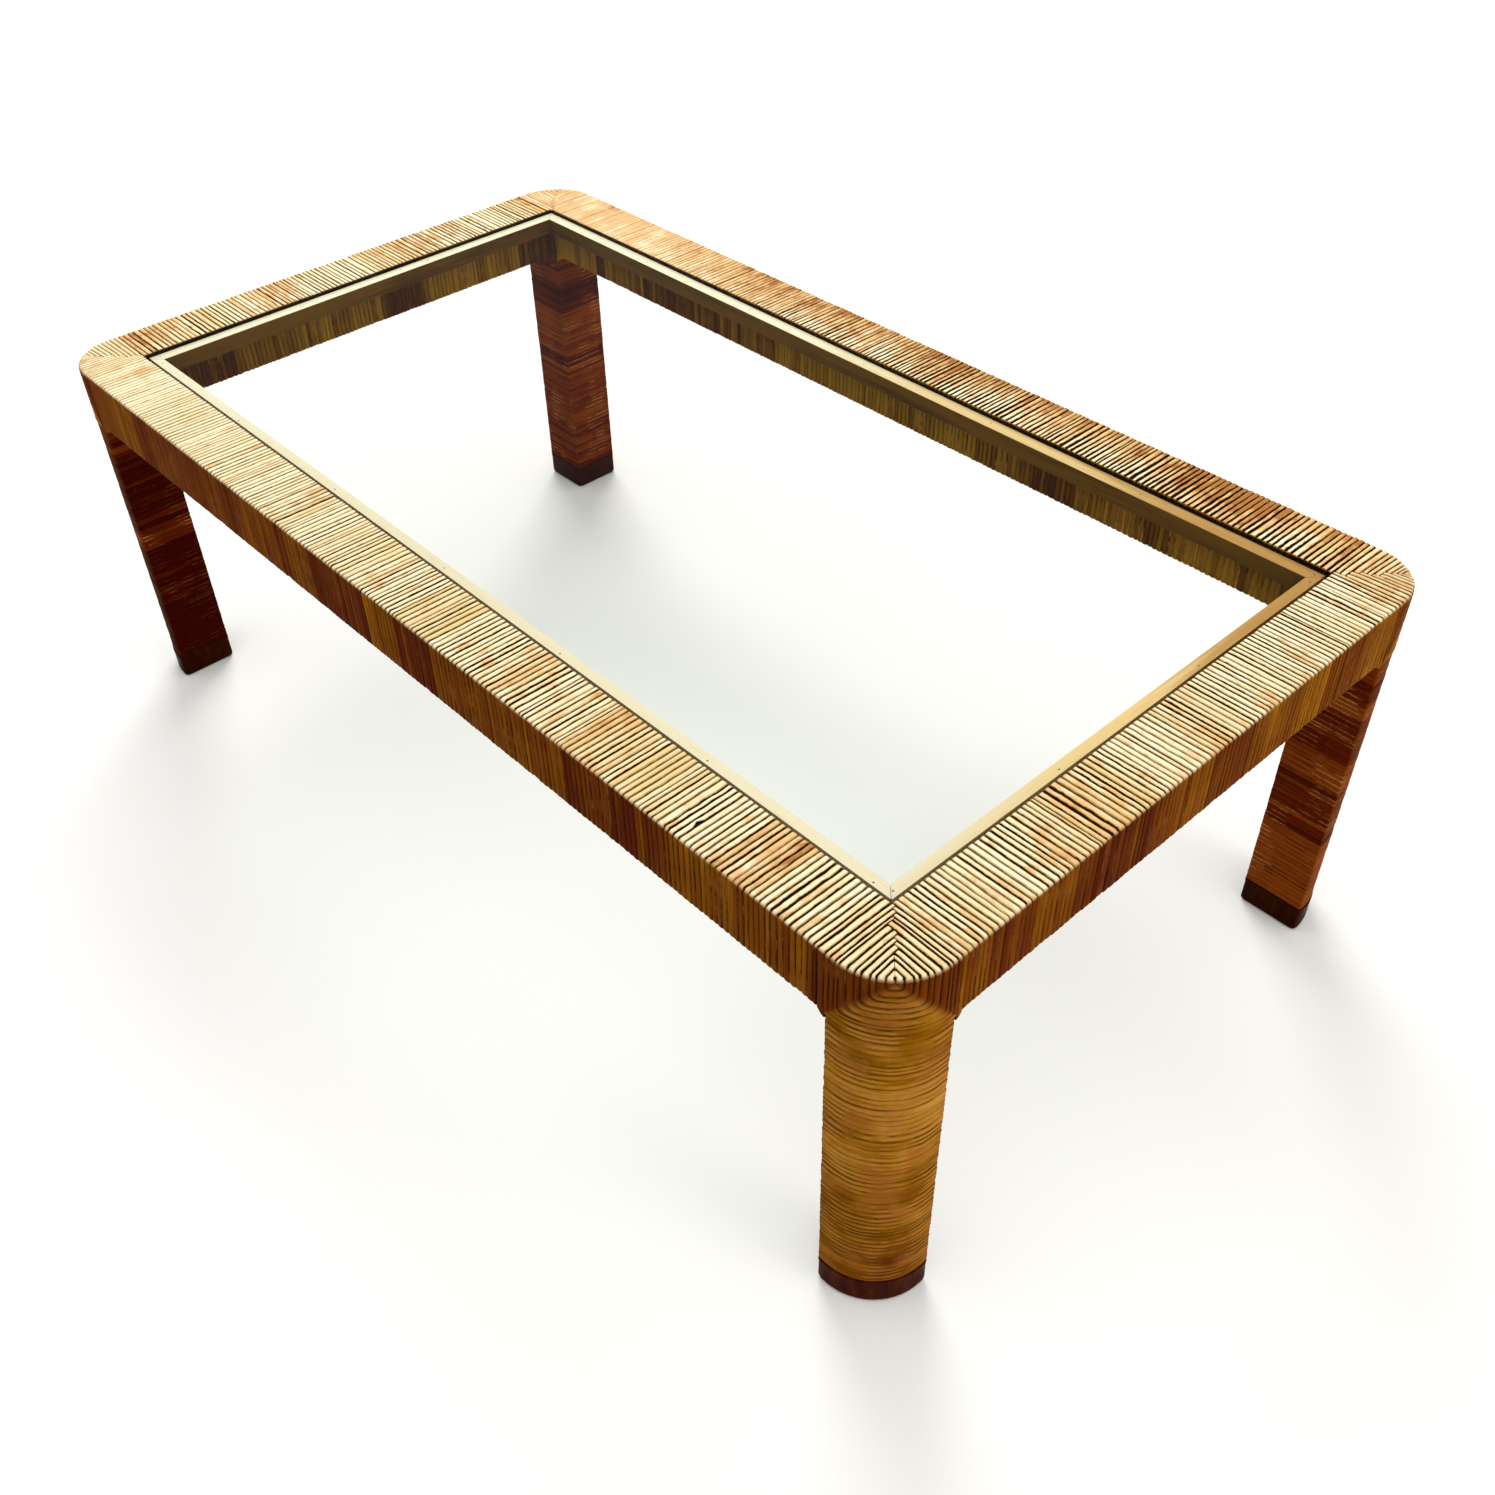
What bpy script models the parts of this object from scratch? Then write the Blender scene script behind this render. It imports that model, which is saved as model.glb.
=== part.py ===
"""Low coffee table: a hardwood frame wrapped in split reed, with an inset glass top.

The table stands on four legs of square section with one large rounded outer corner.
Four rails of the same width join the legs, and the whole frame is covered by reed.
At each corner the reed of the two rails and of the leg meets in a three-way mitre.
A mitred wood ledge inside the rails carries the glass, and each leg ends in a foot cap.
Origin: the centre of the footprint, on the floor. X runs along the table, Y across it.
"""
import math

import bmesh
import bpy
from mathutils import Vector

LENGTH = 1.372
WIDTH = 0.760
HEIGHT = 0.457
RAIL_WIDTH = 0.0727
APRON_HEIGHT = 0.070
CORNER_RADIUS = 0.0635
REED_THICKNESS = 0.003
EDGE_ROUND = 0.004
INNER_CHAMFER = 0.002
LEG_INSET = 0.0008
FILLET_RADIUS = 0.009
CAP_HEIGHT = 0.034
CAP_RADIUS = 0.058
CAP_FLOOR = 0.005
CAP_EDGE = 0.0025
GLASS_THICKNESS = 0.006
GLASS_DROP = 0.0005
GLASS_SIDE_GAP = 0.0015
GLASS_ARRIS = 0.0007
LEDGE_WIDTH = 0.017
LEDGE_THICKNESS = 0.020
LEDGE_EDGE = 0.0008
CORE_CHAMFER = 0.0005
FILLET_FRONT = 0.0024
FILLET_BACK = 0.003
GAP = 0.0003
OVERLAP = 0.001

HALF_LENGTH = LENGTH / 2
HALF_WIDTH = WIDTH / 2
CORE_INSET = REED_THICKNESS + LEG_INSET + GAP
APRON_BOTTOM = HEIGHT - APRON_HEIGHT
VERTEX_INSET = CORNER_RADIUS * (1 - math.sqrt(0.5))
LEDGE_TOP = -GLASS_DROP - GLASS_THICKNESS - GAP
ARC_SEGMENTS = 12
FILLET_SEGMENTS = 5
ROUND_SEGMENTS = 3
SHARP_ANGLE = math.radians(30)
OVERSIZE = 2.0

REED = (0.72, 0.50, 0.27)
REED_DARK = (0.42, 0.22, 0.09)
CORE_WOOD = (0.56, 0.41, 0.25)
LEDGE_WOOD = (0.80, 0.60, 0.36)
GLASS_TINT = (0.86, 0.93, 0.90)
CAP_BROWN = (0.055, 0.030, 0.022)


def clear_scene():
    """Remove every object and mesh that the scene starts with."""
    for item in list(bpy.data.objects):
        bpy.data.objects.remove(item, do_unlink=True)


def make_material(name, colour, roughness, metallic=0.0, transmission=0.0):
    """Return a Principled material with one colour."""
    material = bpy.data.materials.new(name)
    material.use_nodes = True
    shader = material.node_tree.nodes["Principled BSDF"]
    shader.inputs["Base Color"].default_value = (*colour, 1.0)
    shader.inputs["Roughness"].default_value = roughness
    shader.inputs["Metallic"].default_value = metallic
    shader.inputs["Transmission Weight"].default_value = transmission
    return material


def prism_mesh(name, outline, bottom, top):
    """Return a mesh that raises a counter-clockwise plan outline from bottom to top."""
    body = bmesh.new()
    lower = [body.verts.new((x, y, bottom)) for x, y in outline]
    upper = [body.verts.new((x, y, top)) for x, y in outline]
    body.faces.new(list(reversed(lower)))
    body.faces.new(upper)
    count = len(outline)
    for index in range(count):
        after = (index + 1) % count
        body.faces.new((lower[index], lower[after], upper[after], upper[index]))
    mesh = bpy.data.meshes.new(name)
    body.to_mesh(mesh)
    body.free()
    return mesh


def loft_mesh(name, rings):
    """Return a mesh through stacked counter-clockwise rings of points, closed at both ends."""
    body = bmesh.new()
    layers = [[body.verts.new(point) for point in ring] for ring in rings]
    body.faces.new(list(reversed(layers[0])))
    body.faces.new(layers[-1])
    count = len(rings[0])
    for lower, upper in zip(layers, layers[1:]):
        for index in range(count):
            after = (index + 1) % count
            body.faces.new((lower[index], lower[after], upper[after], upper[index]))
    mesh = bpy.data.meshes.new(name)
    body.to_mesh(mesh)
    body.free()
    return mesh


def bevel_level_edges(mesh, level, width, segments):
    """Round the edges of a mesh that lie in the horizontal plane at level."""
    body = bmesh.new()
    body.from_mesh(mesh)
    edges = []
    for edge in body.edges:
        if all(abs(vert.co.z - level) < 1e-6 for vert in edge.verts):
            edges.append(edge)
    bmesh.ops.bevel(body, geom=edges, offset=width, segments=segments,
                    profile=0.5, affect="EDGES", clamp_overlap=False)
    body.to_mesh(mesh)
    body.free()
    return mesh


def boolean_mesh(mesh, cutter, operation):
    """Return the result of one exact Boolean between two meshes."""
    base = bpy.data.objects.new("boolean_base", mesh)
    tool = bpy.data.objects.new("boolean_tool", cutter)
    for item in (base, tool):
        bpy.context.collection.objects.link(item)
    modifier = base.modifiers.new("cut", "BOOLEAN")
    modifier.operation = operation
    modifier.object = tool
    bpy.context.view_layer.update()
    graph = bpy.context.evaluated_depsgraph_get()
    result = bpy.data.meshes.new_from_object(base.evaluated_get(graph))
    for item in (base, tool):
        bpy.data.objects.remove(item, do_unlink=True)
    return result


def wedge_mesh(name, planes):
    """Return a large convex block kept on the inner side of each (point, outward normal)."""
    body = bmesh.new()
    bmesh.ops.create_cube(body, size=OVERSIZE * 2)
    for point, normal in planes:
        everything = body.verts[:] + body.edges[:] + body.faces[:]
        bmesh.ops.bisect_plane(body, geom=everything, plane_co=point, plane_no=normal,
                               clear_outer=True)
        rim = [edge for edge in body.edges if edge.is_boundary]
        bmesh.ops.edgeloop_fill(body, edges=rim)
    bmesh.ops.recalc_face_normals(body, faces=body.faces[:])
    mesh = bpy.data.meshes.new(name)
    body.to_mesh(mesh)
    body.free()
    return mesh


def rectangle(left, right, front, back):
    """Return a counter-clockwise rectangle."""
    return [(left, front), (right, front), (right, back), (left, back)]


def corner_outline(left, right, front, back, radius):
    """Return a rectangle whose right front corner is a quarter circle."""
    arc = []
    for step in range(ARC_SEGMENTS + 1):
        angle = -math.pi / 2 + math.pi / 2 * step / ARC_SEGMENTS
        arc.append((right - radius + radius * math.cos(angle),
                    front + radius + radius * math.sin(angle)))
    return [(left, front)] + arc + [(right, back), (left, back)]


def rail_end_outline(half, inset):
    """Return the plan of one rail side of the table, with both of its corners rounded."""
    radius = CORNER_RADIUS - inset
    end = half - inset
    back = RAIL_WIDTH * 2
    right = corner_outline(0.0, end, inset, back, radius)[1:-1]
    left = [(-x, y) for x, y in reversed(right)]
    return left + right


def opening_cutter(half, grow, chamfer):
    """Return the block that opens the frame, flared by the chamfer at top and bottom."""
    top = -grow
    bottom = -APRON_HEIGHT + grow
    reach = chamfer + OVERLAP
    rings = []
    for level, spread in ((bottom - OVERLAP, reach), (bottom + chamfer, 0.0),
                          (top - chamfer, 0.0), (top + OVERLAP, reach)):
        side = half - RAIL_WIDTH + grow + spread
        front = RAIL_WIDTH - grow - spread
        ring = rectangle(-side, side, front, RAIL_WIDTH * 3)
        rings.append([(x, y, level) for x, y in ring])
    return loft_mesh("opening", rings)


def apron_solid(half, inset, rounding):
    """Return one side of the apron as a solid, moved inward by inset on every face."""
    mesh = prism_mesh("apron", rail_end_outline(half, inset), -APRON_HEIGHT + inset, -inset)
    if rounding:
        bevel_level_edges(mesh, -inset, rounding, ROUND_SEGMENTS)
        bevel_level_edges(mesh, -APRON_HEIGHT + inset, rounding, ROUND_SEGMENTS)
    chamfer = INNER_CHAMFER if rounding else CORE_CHAMFER
    return boolean_mesh(mesh, opening_cutter(half, inset, chamfer), "DIFFERENCE")


def rail_sector(half):
    """Return the block that keeps a rail's share of both corners."""
    planes = []
    rise = RAIL_WIDTH - VERTEX_INSET
    for side in (1, -1):
        mitre = Vector((side, 1.0, 0.0)).normalized()
        planes.append((Vector((side * half, 0.0, 0.0)) - mitre * GAP / 2, mitre))
        slope = Vector((side * APRON_HEIGHT, 0.0, -rise)).normalized()
        foot = Vector((side * (half - RAIL_WIDTH), 0.0, -APRON_HEIGHT))
        planes.append((foot - slope * GAP / 2, slope))
    return wedge_mesh("rail_sector", planes)


def fillet_mesh(half, side):
    """Return the small concave build-up of reed between a rail and a leg."""
    face = half - RAIL_WIDTH - GAP
    profile = [(face, OVERLAP)]
    for step in range(FILLET_SEGMENTS + 1):
        angle = math.pi / 2 * step / FILLET_SEGMENTS
        profile.append((face - FILLET_RADIUS * (1 - math.cos(angle)),
                        -FILLET_RADIUS * (1 - math.sin(angle))))
    profile.append((face - FILLET_RADIUS, OVERLAP))
    rings = []
    for y in (FILLET_FRONT, RAIL_WIDTH - FILLET_BACK):
        rings.append([(side * x, y, -APRON_HEIGHT + z) for x, z in profile])
    mesh = loft_mesh("fillet", rings)
    body = bmesh.new()
    body.from_mesh(mesh)
    bmesh.ops.recalc_face_normals(body, faces=body.faces[:])
    body.to_mesh(mesh)
    body.free()
    return mesh


def rail_wrap_mesh(half):
    """Return the reed skin of one rail: outer face at y = 0, top at z = 0."""
    solid = boolean_mesh(apron_solid(half, 0.0, EDGE_ROUND), rail_sector(half), "INTERSECT")
    solid = boolean_mesh(solid, fillet_mesh(half, 1), "UNION")
    solid = boolean_mesh(solid, fillet_mesh(half, -1), "UNION")
    return boolean_mesh(solid, apron_solid(half, REED_THICKNESS, 0.0), "DIFFERENCE")


def leg_outline(inset, radius):
    """Return a leg's section: outer corner at the origin, leg towards -X and +Y."""
    return corner_outline(-RAIL_WIDTH + inset, -inset, inset, RAIL_WIDTH - inset, radius)


def leg_sector():
    """Return the block that keeps the leg's share of the corner, below both mitres."""
    rise = RAIL_WIDTH - VERTEX_INSET
    foot = Vector((-RAIL_WIDTH, RAIL_WIDTH, APRON_BOTTOM))
    planes = []
    for normal in (Vector((-APRON_HEIGHT, 0.0, rise)), Vector((0.0, APRON_HEIGHT, rise))):
        outward = normal.normalized()
        planes.append((foot - outward * GAP / 2, outward))
    return wedge_mesh("leg_sector", planes)


def leg_wrap_mesh():
    """Return the reed skin of one leg, with its share of the corner above the apron's foot."""
    top = prism_mesh("corner", leg_outline(0.0, CORNER_RADIUS), APRON_BOTTOM - OVERLAP, HEIGHT)
    bevel_level_edges(top, HEIGHT, EDGE_ROUND, ROUND_SEGMENTS)
    top = boolean_mesh(top, leg_sector(), "INTERSECT")
    hollow = corner_outline(-RAIL_WIDTH - OVERLAP, -REED_THICKNESS, REED_THICKNESS,
                            RAIL_WIDTH + OVERLAP, CORNER_RADIUS - REED_THICKNESS)
    hollow = prism_mesh("hollow", hollow, APRON_BOTTOM - 2 * OVERLAP, HEIGHT + OVERLAP)
    top = boolean_mesh(top, hollow, "DIFFERENCE")
    shaft = prism_mesh("shaft", leg_outline(LEG_INSET, CORNER_RADIUS - LEG_INSET),
                       CAP_HEIGHT + GAP, APRON_BOTTOM - GAP)
    bore_inset = CORE_INSET - GAP
    bore = prism_mesh("bore", leg_outline(bore_inset, CORNER_RADIUS - bore_inset),
                      CAP_HEIGHT - OVERLAP, APRON_BOTTOM + OVERLAP)
    shaft = boolean_mesh(shaft, bore, "DIFFERENCE")
    return boolean_mesh(shaft, top, "UNION")


def leg_core_mesh():
    """Return the hardwood post inside a leg, from the cap's floor to under the top reed."""
    return prism_mesh("leg_core", leg_outline(CORE_INSET, CORNER_RADIUS - CORE_INSET),
                      CAP_FLOOR + GAP, HEIGHT - REED_THICKNESS - GAP)


def rail_core_mesh(half):
    """Return the hardwood rail inside the reed, between two posts."""
    end = half - RAIL_WIDTH + CORE_INSET - GAP
    side = REED_THICKNESS + GAP
    return prism_mesh("rail_core", rectangle(-end, end, side, RAIL_WIDTH - CORE_INSET),
                      -APRON_HEIGHT + side, -side)


def foot_cap_mesh():
    """Return a foot cap: a cup round the foot of a leg, with its edges eased."""
    cup = prism_mesh("cap", leg_outline(0.0, CAP_RADIUS), 0.0, CAP_HEIGHT)
    bevel_level_edges(cup, 0.0, CAP_EDGE, ROUND_SEGMENTS)
    bevel_level_edges(cup, CAP_HEIGHT, CAP_EDGE / 3, 1)
    wall = CORE_INSET - GAP
    socket = prism_mesh("socket", leg_outline(wall, CORNER_RADIUS - wall), CAP_FLOOR,
                        CAP_HEIGHT + OVERLAP)
    return boolean_mesh(cup, socket, "DIFFERENCE")


def ledge_mesh(half):
    """Return one mitred ledge strip, inside a rail whose outer face is at y = 0."""
    outer = half - RAIL_WIDTH - GAP * 2
    inner = outer - LEDGE_WIDTH
    front = RAIL_WIDTH + GAP
    outline = [(-outer, front), (outer, front), (inner, front + LEDGE_WIDTH),
               (-inner, front + LEDGE_WIDTH)]
    mesh = prism_mesh("ledge", outline, LEDGE_TOP - LEDGE_THICKNESS, LEDGE_TOP)
    return bevel_level_edges(mesh, LEDGE_TOP, LEDGE_EDGE, 1)


def glass_mesh():
    """Return the glass pane about the centre of its lower face, with ground edges."""
    half_x = HALF_LENGTH - RAIL_WIDTH - GLASS_SIDE_GAP
    half_y = HALF_WIDTH - RAIL_WIDTH - GLASS_SIDE_GAP
    pane = prism_mesh("glass", rectangle(-half_x, half_x, -half_y, half_y), 0.0, GLASS_THICKNESS)
    bevel_level_edges(pane, 0.0, GLASS_ARRIS, 1)
    return bevel_level_edges(pane, GLASS_THICKNESS, GLASS_ARRIS, 1)


def place(name, mesh, material, parent, location, turn=0.0, smooth=True):
    """Add one named piece, turned about Z, under its parent."""
    piece = bpy.data.objects.new(name, mesh)
    bpy.context.collection.objects.link(piece)
    piece.parent = parent
    piece.location = location
    piece.rotation_euler = (0.0, 0.0, turn)
    mesh.materials.clear()
    mesh.materials.append(material)
    if smooth:
        mesh.shade_smooth()
        mesh.set_sharp_from_angle(angle=SHARP_ANGLE)
    return piece


def add_empty(name, location):
    """Add an empty that carries pieces."""
    empty = bpy.data.objects.new(name, None)
    bpy.context.collection.objects.link(empty)
    empty.location = location
    return empty


def build_rails(frame):
    """Add the four rails: core, reed and ledge, turned to face outward on each side."""
    sides = (("front", HALF_LENGTH, (0.0, -HALF_WIDTH, HEIGHT), 0),
             ("right", HALF_WIDTH, (HALF_LENGTH, 0.0, HEIGHT), 1),
             ("back", HALF_LENGTH, (0.0, HALF_WIDTH, HEIGHT), 2),
             ("left", HALF_WIDTH, (-HALF_LENGTH, 0.0, HEIGHT), 3))
    for side, half, location, quarter in sides:
        turn = quarter * math.pi / 2
        core = make_material("core_wood_rail_" + side, CORE_WOOD, 0.7)
        reed = make_material("reed_rail_" + side, REED, 0.42)
        wood = make_material("ledge_wood_" + side, LEDGE_WOOD, 0.5)
        place("rail_core_" + side, rail_core_mesh(half), core, frame, location, turn, False)
        place("rail_wrap_" + side, rail_wrap_mesh(half), reed, frame, location, turn)
        place("ledge_" + side, ledge_mesh(half), wood, frame, location, turn, False)


def build_legs(frame):
    """Add the four legs: post, reed and foot cap, each about its own outer corner."""
    corners = (("front_right", HALF_LENGTH, -HALF_WIDTH, 0),
               ("back_right", HALF_LENGTH, HALF_WIDTH, 1),
               ("back_left", -HALF_LENGTH, HALF_WIDTH, 2),
               ("front_left", -HALF_LENGTH, -HALF_WIDTH, 3))
    for corner, x, y, quarter in corners:
        turn = quarter * math.pi / 2
        core = make_material("core_wood_leg_" + corner, CORE_WOOD, 0.7)
        reed = make_material("reed_leg_" + corner, REED_DARK, 0.38)
        cap = make_material("cap_" + corner, CAP_BROWN, 0.35)
        place("leg_core_" + corner, leg_core_mesh(), core, frame, (x, y, 0.0), turn)
        place("leg_wrap_" + corner, leg_wrap_mesh(), reed, frame, (x, y, 0.0), turn)
        place("foot_cap_" + corner, foot_cap_mesh(), cap, frame, (x, y, 0.0), turn)


def build_table():
    """Build the whole table."""
    clear_scene()
    frame = add_empty("table_frame", (0.0, 0.0, 0.0))
    build_rails(frame)
    build_legs(frame)
    lift = add_empty("glass_lift", (0.0, 0.0, HEIGHT - GLASS_DROP - GLASS_THICKNESS))
    clear = make_material("glass", GLASS_TINT, 0.03, 0.0, 1.0)
    place("glass_panel", glass_mesh(), clear, lift, (0.0, 0.0, 0.0), 0.0, False)


build_table()
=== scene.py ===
"""Looks of the reed-wrapped coffee table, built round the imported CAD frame.

Every strip of split reed is a closed body of its own inside the piece of its rail or leg.
Rails are worked out in a frame of their own: X along the rail, Y inward from the outer face,
Z up from the table top. Corners and legs use the outer corner as origin, leg towards -X, +Y,
and legs have Z up from the floor.
"""
import math

import bmesh
import bpy
import numpy as np
from mathutils import Matrix, Vector


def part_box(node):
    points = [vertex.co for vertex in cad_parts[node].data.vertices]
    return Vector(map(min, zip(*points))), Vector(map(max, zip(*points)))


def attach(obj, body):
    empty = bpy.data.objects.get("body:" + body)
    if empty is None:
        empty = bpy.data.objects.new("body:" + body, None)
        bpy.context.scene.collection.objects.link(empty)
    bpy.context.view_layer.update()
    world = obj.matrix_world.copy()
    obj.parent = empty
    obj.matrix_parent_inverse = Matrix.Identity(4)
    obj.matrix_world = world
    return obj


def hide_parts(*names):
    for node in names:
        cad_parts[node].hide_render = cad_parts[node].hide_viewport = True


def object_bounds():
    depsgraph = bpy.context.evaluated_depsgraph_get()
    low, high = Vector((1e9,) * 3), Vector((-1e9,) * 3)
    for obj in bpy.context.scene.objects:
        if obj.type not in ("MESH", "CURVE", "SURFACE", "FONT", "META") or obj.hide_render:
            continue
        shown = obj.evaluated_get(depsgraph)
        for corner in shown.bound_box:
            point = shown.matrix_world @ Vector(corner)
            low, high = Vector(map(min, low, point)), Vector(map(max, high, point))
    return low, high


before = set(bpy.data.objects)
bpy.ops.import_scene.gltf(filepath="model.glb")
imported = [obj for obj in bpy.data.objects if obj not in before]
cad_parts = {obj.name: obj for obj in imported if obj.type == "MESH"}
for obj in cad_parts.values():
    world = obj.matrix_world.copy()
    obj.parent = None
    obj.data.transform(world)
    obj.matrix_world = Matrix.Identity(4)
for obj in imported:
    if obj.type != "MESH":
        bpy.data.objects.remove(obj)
cad_low, cad_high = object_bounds()

SEED = 54
MM = 0.001

HALF_LENGTH, HALF_WIDTH, HEIGHT = cad_high
WRAP_LOW, WRAP_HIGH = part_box("rail_wrap_front")
CORE_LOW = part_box("rail_core_front")[0]
RAIL_WIDTH = WRAP_HIGH.y - WRAP_LOW.y
SKIN = CORE_LOW.y - WRAP_LOW.y
APRON_BOTTOM = CORE_LOW.z - SKIN
APRON_HEIGHT = HEIGHT - APRON_BOTTOM
CAP_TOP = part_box("foot_cap_front_right")[1].z
LEDGE_LOW, LEDGE_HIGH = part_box("ledge_front")
LEDGE_WIDTH = LEDGE_HIGH.y - LEDGE_LOW.y
LEDGE_THICKNESS = LEDGE_HIGH.z - LEDGE_LOW.z
LEDGE_DROP = LEDGE_HIGH.z - HEIGHT
GLASS_LOW, GLASS_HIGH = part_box("glass_panel")

CORNER_RADIUS = 63.5 * MM
EDGE_ROUND = 4.0 * MM
RAIL_INNER_ROUND = 1.6 * MM
LEG_INNER_ROUND = 2.2 * MM
CAP_ROUND = 4.5 * MM
CAP_GAP = 0.3 * MM
FILLET_RADIUS = 9.0 * MM
LEG_INSET = 0.8 * MM
REED_PITCH = 6.3 * MM
REED_THICKNESS = 2.8 * MM
REED_GAP = 0.35 * MM
RAIL_RELIEF = 2.2 * MM
LEG_RELIEF = 1.2 * MM
STRIP_END_DROP = 0.6 * MM
MITRE_GAP = 0.4 * MM
TURN_RADIUS = 7.0 * MM
CORNER_LOOPS = 10
VERTEX_INSET = CORNER_RADIUS * (1 - math.sqrt(0.5))
LEDGE_DARK_BAND_WIDTH = 1.8 * MM
LEDGE_GAP = 0.3 * MM
BRAD_SPACING = 0.16
BRAD_END = 20 * MM
GLASS_CORNER_EASE = 1.5 * MM

# Places across a strip, from -1 to 1, of the points on its rounded back and on its flat bottom.
BACK_POINTS = (-1.0, -0.82, -0.4, 0.4, 0.82, 1.0)
BOTTOM_POINTS = (0.9, -0.9)
# The values that every point of a strip carries for the reed's material.
REED_VALUES = ("along", "across", "tone", "blush", "groove", "lean", "reed", "fade", "limb", "deep")

# How strips differ in width: the usual spread, and the share and width of odd ones.
WIDTH_SPREAD = 0.10
NARROW_SHARE = 0.06
NARROW_WIDTH = 0.6
BROAD_SHARE = 0.04
BROAD_WIDTH = 1.35
WIDTH_LIMITS = (0.45, 1.5)
# How far an edge wavers to either side, least and most, and how deep a strip sinks, all in mm.
RAIL_WAVER = (0.15, 0.60)
LEG_WAVER = (0.3, 1.2)
CORNER_WAVER = 0.4
RAIL_SINK = 0.25
CORNER_SINK = 0.15
LEG_SINK = 0.2

SIDES = (("front", HALF_LENGTH, (0.0, -HALF_WIDTH), 0),
         ("right", HALF_WIDTH, (HALF_LENGTH, 0.0), 1),
         ("back", HALF_LENGTH, (0.0, HALF_WIDTH), 2),
         ("left", HALF_WIDTH, (-HALF_LENGTH, 0.0), 3))
CORNERS = (("front_right", HALF_LENGTH, -HALF_WIDTH, 0),
           ("back_right", HALF_LENGTH, HALF_WIDTH, 1),
           ("back_left", -HALF_LENGTH, HALF_WIDTH, 2),
           ("front_left", -HALF_LENGTH, -HALF_WIDTH, 3))

# Rust and pink patches of each rail's top, as shares of the rail from its left or front end:
# centre, half width, strength. BASE_BLUSH is the pink between them.
BLUSHES = {
    "front": ((0.06, 0.05, 0.30), (0.36, 0.03, 0.18), (0.50, 0.02, 0.22), (0.635, 0.02, 0.52),
              (0.72, 0.03, 0.52), (0.87, 0.03, 0.72)),
    "right": ((0.10, 0.04, 0.32), (0.33, 0.07, 0.42), (0.52, 0.04, 0.35), (0.70, 0.03, 0.25),
              (0.92, 0.05, 0.45)),
    "back": ((0.10, 0.12, 0.22), (0.32, 0.08, 0.30), (0.45, 0.05, 0.50), (0.56, 0.05, 0.50),
             (0.70, 0.06, 0.35), (0.84, 0.06, 0.70), (0.96, 0.03, 0.60)),
    "left": ((0.12, 0.07, 0.55), (0.36, 0.05, 0.40), (0.66, 0.07, 0.45), (0.90, 0.05, 0.28)),
}
BASE_BLUSH = {"front": 0.06, "right": 0.10, "back": 0.31, "left": 0.16}
# How much more each rail is coloured at its outer edge than at its inner edge.
LEAN = {"front": -0.1, "right": 0.3, "back": 0.9, "left": 0.3}
# Share of the groove stain left at the table's left end, where it is faintest, the shares of the
# table's length between which the stain comes back, and its strength on each rail.
GROOVE_LEFT_END = {"front": 0.35, "right": 1.0, "back": 0.05, "left": 0.75}
GROOVE_RISE_SPAN = {"front": (0.0, 0.55), "right": (0.0, 0.55), "back": (0.15, 0.57), "left": (0.0, 0.55)}
GROOVE_GAIN = {"front": 1.0, "right": 1.0, "back": 1.45, "left": 1.05}
# Rise of a rail's side colours from maroon towards gold, how far its hanks differ at its left or
# front end and at its other end, and the centre, half width and depth of its darkest stretch.
SIDE_TONE = {"front": 0.0, "right": 0.08, "back": 0.05, "left": 0.0}
TONE_SPREAD = {"front": (0.50, 1.05), "right": (0.85, 0.50), "back": (1.0, 1.0), "left": (1.0, 1.0)}
SIDE_DIP = {"front": (0.70, 0.18, 0.14), "right": (0.35, 0.15, 0.12), "back": (0.5, 0.2, 0.0),
            "left": (0.5, 0.2, 0.0)}
# Stain and pink of each corner's loops, the painted shade over its leg, and a shift of the leg's
# tone that paints light and shade: the front left leg darker, the back right leg lighter.
CORNER_STAIN = {"front_right": 1.05, "back_right": 0.9, "back_left": 0.15, "front_left": 0.45}
CORNER_BLUSH = {"front_right": 0.06, "back_right": 0.30, "back_left": 0.34, "front_left": 0.12}
LEG_PAINTED_SHADE = {"front_right": 0.0, "back_right": 0.9, "back_left": 0.2, "front_left": 0.9}
LEG_PAINTED_LIGHT = {"front_right": 0.0, "back_right": 0.25, "back_left": 0.0, "front_left": -0.35}
# Share of the full width of the dark band along a ledge's top, at its two ends.
DARK_BAND_SHARE = {"front": (0.9, 0.15), "right": (0.15, 0.15), "back": (0.5, 1.0), "left": (1.0, 1.0)}
# The nick in the front rail's top: share of its strips, station on their ring and its width.
NICK_SHARE = 0.863
NICK_STATION = 7
NICK_WIDTH = 3.2 * MM


# ---- small geometry helpers

def unit(vectors):
    """Return vectors scaled to length one."""
    return vectors / np.maximum(np.linalg.norm(vectors, axis=-1, keepdims=True), 1e-9)


def placer(quarter, origin, lift):
    """Return a function that moves local points, or turns local normals, into the table's frame."""
    cosine = math.cos(quarter * math.pi / 2)
    sine = math.sin(quarter * math.pi / 2)
    turn = np.array(((cosine, sine, 0.0), (-sine, cosine, 0.0), (0.0, 0.0, 1.0)))
    offset = np.array((*origin, lift))

    def place(points, direction=False):
        return points @ turn + (0.0 if direction else offset)
    return place


def arc(centre, radius, start, end, steps):
    """Return (u, v, nu, nv) along a circular arc, angles in degrees."""
    rows = []
    for angle in np.radians(np.linspace(start, end, steps + 1)):
        rows.append((centre[0] + radius * math.cos(angle), centre[1] + radius * math.sin(angle),
                     math.cos(angle), math.sin(angle)))
    return rows


def wobble(rng, amount):
    """Return a smooth periodic offset along a strip's edge, as a function of 0..1."""
    phases = rng.uniform(0, 2 * math.pi, 3)
    shares = rng.dirichlet((1.0, 1.0, 1.0))

    def offset(t):
        waves = [share * np.sin(2 * math.pi * turns * t + phase)
                 for share, turns, phase in zip(shares, (1, 3, 8), phases)]
        return amount * sum(waves)
    return offset


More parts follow.
